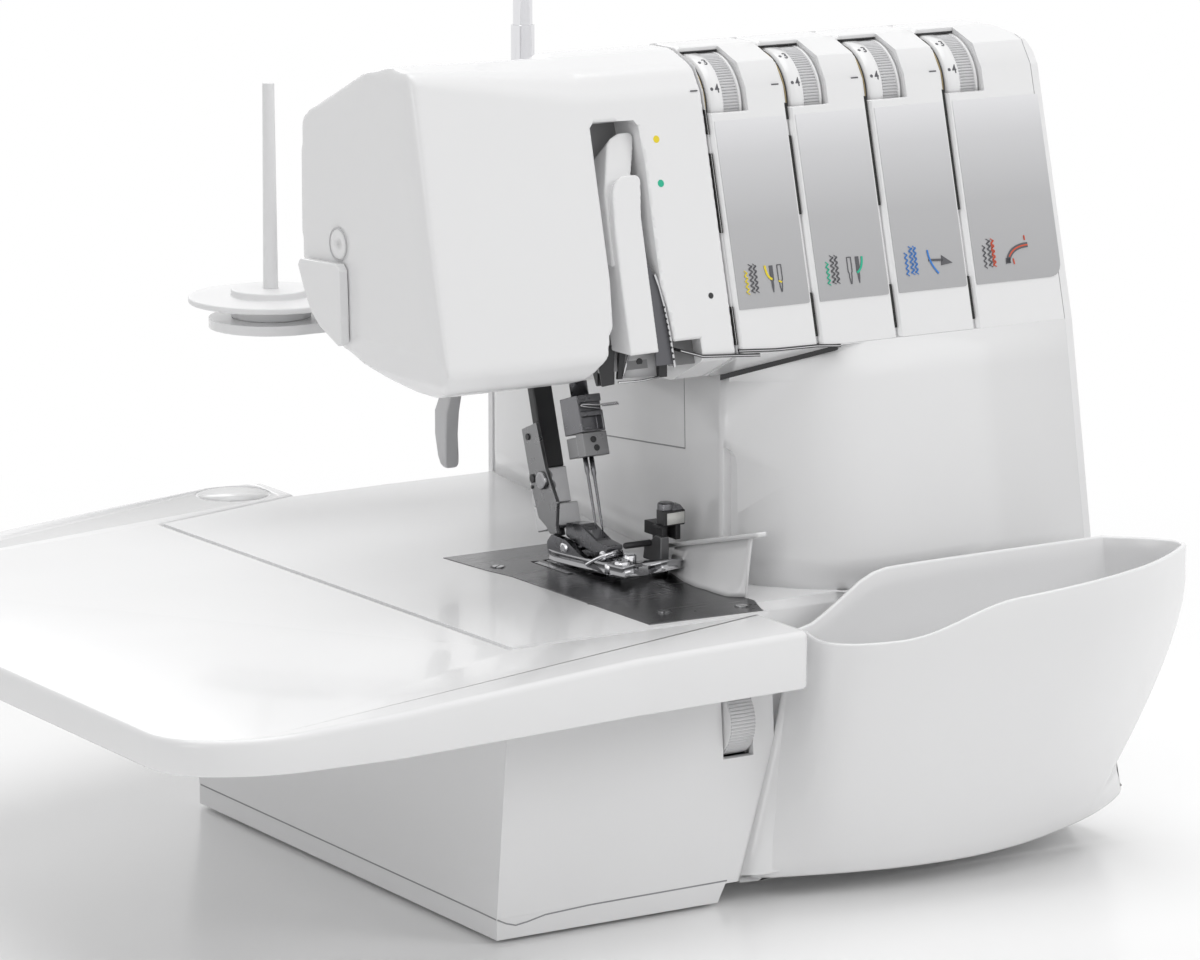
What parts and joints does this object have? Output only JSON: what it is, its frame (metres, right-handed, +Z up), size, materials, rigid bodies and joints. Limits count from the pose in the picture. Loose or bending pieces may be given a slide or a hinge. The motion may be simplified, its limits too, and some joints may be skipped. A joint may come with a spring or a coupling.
{
  "type": "serger overlock machine",
  "caption": "White domestic overlock sewing machine with needles, loopers, knives, tension dials, presser foot, spool stand, telescopic thread pole, slide-on table and waste bin.",
  "frame": {"origin": "bottom centre of the whole object box, on the surface that it stands on", "axes": "+Z up; -Y towards the user, where the needle, foot and bin are; +X towards the handwheel"},
  "size_m": [0.468, 0.3874, 0.54],
  "materials": {
    "white_plastic": "smooth white moulded plastic",
    "grey_plastic": "satin grey moulded plastic",
    "black_plastic": "satin black",
    "steel": "ground steel",
    "chrome": "polished chrome plate",
    "brass": "turned brass",
    "rubber": "black rubber",
    "board": "green circuit board",
    "lens": "frosted lamp window",
    "motor": "black painted steel can",
    "casting": "die-cast alloy"
  },
  "bodies": {
    "machine": {"base_pan": "white_plastic", "rubber_feet": "rubber", "main_casing": "white_plastic", "side_cover": "white_plastic", "rear_cover": "white_plastic", "head_casing": "white_plastic", "head_cover": "white_plastic", "head_plug": "white_plastic", "thread_cutter": "white_plastic", "column_cover_1": "white_plastic", "column_cover_2": "white_plastic", "column_cover_3": "white_plastic", "column_cover_4": "white_plastic", "column_labels": "grey_plastic", "take_up_covers": "white_plastic", "needle_plate": "chrome", "plate_screws": "chrome", "chip_guard": "white_plastic", "machine_frame": "casting", "looper_stands": "casting", "bushes": "brass", "drive_motor": "motor", "drive_belt": "rubber", "circuit_board": "board", "power_inlet": "black_plastic", "light_lens": "lens", "tension_discs": "brass", "spool_stand": "white_plastic", "spool_pins": "white_plastic", "spool_discs": "white_plastic", "pole_tube": "chrome", "lower_knife": "steel"},
    "tension_dial_1": {"tension_dial_1": "grey_plastic"},
    "tension_dial_2": {"tension_dial_2": "grey_plastic"},
    "tension_dial_3": {"tension_dial_3": "grey_plastic"},
    "tension_dial_4": {"tension_dial_4": "grey_plastic"},
    "handwheel": {"handwheel": "white_plastic", "main_shaft": "steel"},
    "motor_pulley": {"motor_pulley": "steel"},
    "needle": {"needle_bar": "chrome", "needle_clamp": "chrome", "needles": "chrome"},
    "take_up_lever": {"take_up_lever": "chrome"},
    "lower_looper": {"lower_looper": "steel"},
    "upper_looper": {"upper_looper": "steel"},
    "upper_knife": {"upper_knife": "steel"},
    "feed_dogs": {"feed_dogs": "steel"},
    "lifter_lever": {"lifter_lever": "grey_plastic"},
    "presser": {"presser_bar": "black_plastic", "foot_holder": "chrome"},
    "presser_foot": {"presser_foot": "chrome"},
    "looper_cover": {"looper_cover": "white_plastic"},
    "waste_bin": {"waste_bin": "white_plastic"},
    "slide_table": {"slide_table": "white_plastic"},
    "cutting_width_dial": {"cutting_width_dial": "grey_plastic"},
    "stitch_length_dial": {"stitch_length_dial": "white_plastic"},
    "differential_dial": {"differential_dial": "white_plastic"},
    "power_switch": {"power_switch": "black_plastic"},
    "pole_section": {"pole_section": "chrome"},
    "thread_guide_bar": {"thread_guide_bar": "chrome"}
  },
  "joints": [
    {"name": "tension_dial_1_turn", "type": "hinge", "parent": "machine", "child": "tension_dial_1", "pos_m": [0.062, -0.0492, 0.2885], "axis": [1, 0, 0], "range_deg": [-150, 150]},
    {"name": "tension_dial_2_turn", "type": "hinge", "parent": "machine", "child": "tension_dial_2", "pos_m": [0.0984, -0.0492, 0.2885], "axis": [1, 0, 0], "range_deg": [-150, 150]},
    {"name": "tension_dial_3_turn", "type": "hinge", "parent": "machine", "child": "tension_dial_3", "pos_m": [0.1348, -0.0492, 0.2885], "axis": [1, 0, 0], "range_deg": [-150, 150]},
    {"name": "tension_dial_4_turn", "type": "hinge", "parent": "machine", "child": "tension_dial_4", "pos_m": [0.1712, -0.0492, 0.2885], "axis": [1, 0, 0], "range_deg": [-150, 150]},
    {"name": "handwheel_turn", "type": "hinge", "parent": "machine", "child": "handwheel", "pos_m": [0.215, 0.0102, 0.078], "axis": [1, 0, 0], "continuous": true},
    {"name": "motor_turn", "type": "hinge", "parent": "machine", "child": "motor_pulley", "pos_m": [0.187, 0.0962, 0.118], "axis": [1, 0, 0], "continuous": true},
    {"name": "needle_stroke", "type": "slide", "parent": "machine", "child": "needle", "axis": [0, -0.2924, -0.9563], "range_m": [0, 0.025]},
    {"name": "take_up_swing", "type": "hinge", "parent": "machine", "child": "take_up_lever", "pos_m": [0.029, -0.0218, 0.231], "axis": [1, 0, 0], "range_deg": [0, 10]},
    {"name": "lower_looper_swing", "type": "hinge", "parent": "machine", "child": "lower_looper", "pos_m": [0.025, -0.0553, 0.04], "axis": [0, 1, 0], "range_deg": [0, 12]},
    {"name": "upper_looper_swing", "type": "hinge", "parent": "machine", "child": "upper_looper", "pos_m": [0.061, -0.0463, 0.052], "axis": [0, -1, 0], "range_deg": [0, 10]},
    {"name": "upper_knife_stroke", "type": "slide", "parent": "machine", "child": "upper_knife", "axis": [0, 0, -1], "range_m": [0, 0.006]},
    {"name": "feed_stroke", "type": "slide", "parent": "machine", "child": "feed_dogs", "axis": [0, 0, -1], "range_m": [0, 0.0025]},
    {"name": "lifter_turn", "type": "hinge", "parent": "machine", "child": "lifter_lever", "pos_m": [0.015, 0.0562, 0.2], "axis": [1, 0, 0], "range_deg": [0, 50]},
    {"name": "presser_lift", "type": "slide", "parent": "machine", "child": "presser", "axis": [0, 0.2924, 0.9563], "range_m": [0, 0.006]},
    {"name": "foot_tilt", "type": "hinge", "parent": "presser", "child": "presser_foot", "pos_m": [0.03, -0.0038, 0.121], "axis": [-1, 0, 0], "range_deg": [0, 6]},
    {"name": "bin_slide", "type": "slide", "parent": "machine", "child": "waste_bin", "axis": [0, -1, 0], "range_m": [0, 0.15]},
    {"name": "looper_cover_turn", "type": "hinge", "parent": "machine", "child": "looper_cover", "pos_m": [0.125, -0.12604, 0.013], "axis": [1, 0, 0], "range_deg": [0, 60]},
    {"name": "table_slide", "type": "slide", "parent": "machine", "child": "slide_table", "axis": [-1, 0, 0], "range_m": [0, 0.18]},
    {"name": "cutting_width_turn", "type": "hinge", "parent": "machine", "child": "cutting_width_dial", "pos_m": [0.0295, -0.1158, 0.068], "axis": [1, 0, 0], "range_deg": [-60, 60]},
    {"name": "stitch_length_turn", "type": "hinge", "parent": "machine", "child": "stitch_length_dial", "pos_m": [0.211, -0.0558, 0.118], "axis": [1, 0, 0], "range_deg": [-120, 120]},
    {"name": "differential_turn", "type": "hinge", "parent": "machine", "child": "differential_dial", "pos_m": [0.211, -0.0558, 0.066], "axis": [1, 0, 0], "range_deg": [-120, 120]},
    {"name": "switch_rock", "type": "hinge", "parent": "machine", "child": "power_switch", "pos_m": [0.202, 0.1062, 0.078], "axis": [0, 0, 1], "range_deg": [0, 14]},
    {"name": "pole_slide", "type": "slide", "parent": "machine", "child": "pole_section", "axis": [0, 0, -1], "range_m": [0, 0.08]},
    {"name": "guide_bar_turn", "type": "hinge", "parent": "pole_section", "child": "thread_guide_bar", "pos_m": [0.0775, 0.1022, 0.534], "axis": [0, 0, 1], "range_deg": [-90, 90]}
  ],
  "couplings": [
    {"joint": "motor_turn", "follows": "handwheel_turn", "ratio": 2.8889},
    {"joint": "take_up_swing", "follows": "needle_stroke", "rad_per_m": 6.9806},
    {"joint": "lower_looper_swing", "follows": "needle_stroke", "rad_per_m": 8.3767},
    {"joint": "upper_looper_swing", "follows": "needle_stroke", "rad_per_m": 6.9806},
    {"joint": "upper_knife_stroke", "follows": "needle_stroke", "ratio": 0.2399},
    {"joint": "feed_stroke", "follows": "needle_stroke", "ratio": 0.0999},
    {"joint": "lifter_turn", "follows": "presser_lift", "rad_per_m": 145.43},
    {"joint": "looper_cover_turn", "follows": "bin_slide", "rad_per_m": 6.9806}
  ]
}
